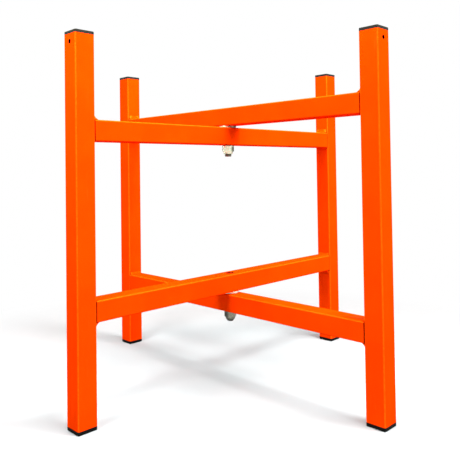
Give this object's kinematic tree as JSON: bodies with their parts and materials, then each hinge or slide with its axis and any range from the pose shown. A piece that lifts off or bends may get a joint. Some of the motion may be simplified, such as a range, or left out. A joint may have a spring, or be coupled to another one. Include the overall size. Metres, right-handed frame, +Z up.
{
  "type": "folding sawhorse",
  "caption": "Scissor-folding work stand: crossed H-frames of square steel tube that turn on upright pivot bolts, with plastic caps on the post ends.",
  "frame": {"origin": "on the floor, on the line of the two pivot bolts, with the stand open", "axes": "+Z up along the pivot line, +X to the right and +Y to the rear; each frame stands at 45 degrees to X and Y, so the posts are at the corners of a square"},
  "size_m": [0.5972, 0.5972, 0.727],
  "materials": {
    "orange_powder_coat": "satin orange powder coat with a fine orange peel",
    "black_plastic": "moulded black polyethylene, slightly satin",
    "zinc_plate": "pale yellow zinc plate",
    "nylon": "natural white nylon"
  },
  "bodies": {
    "outer_frame": {"outer_post_right_front": "orange_powder_coat", "top_cap_right_front": "black_plastic", "foot_cap_right_front": "black_plastic", "outer_post_left_rear": "orange_powder_coat", "top_cap_left_rear": "black_plastic", "foot_cap_left_rear": "black_plastic", "outer_rail_upper": "orange_powder_coat", "outer_welds_upper": "orange_powder_coat", "outer_rail_lower": "orange_powder_coat", "outer_welds_lower": "orange_powder_coat", "upper_pivot_bolt": "zinc_plate", "upper_spacer_washer": "zinc_plate", "upper_lock_nut": "zinc_plate", "upper_nut_ring": "nylon"},
    "inner_frame": {"inner_post_left_front": "orange_powder_coat", "top_cap_left_front": "black_plastic", "foot_cap_left_front": "black_plastic", "inner_post_right_rear": "orange_powder_coat", "top_cap_right_rear": "black_plastic", "foot_cap_right_rear": "black_plastic", "inner_rail_upper": "orange_powder_coat", "inner_welds_upper": "orange_powder_coat", "inner_rail_lower": "orange_powder_coat", "inner_welds_lower": "orange_powder_coat", "lower_pivot_bolt": "zinc_plate", "lower_spacer_washer": "zinc_plate", "lower_lock_nut": "zinc_plate", "lower_nut_ring": "nylon"}
  },
  "joints": [
    {"name": "fold", "type": "hinge", "parent": "outer_frame", "child": "inner_frame", "pos_m": [0, 0, 0.38], "axis": [0, 0, 1], "range_deg": [-83.5, 83.5]}
  ]
}
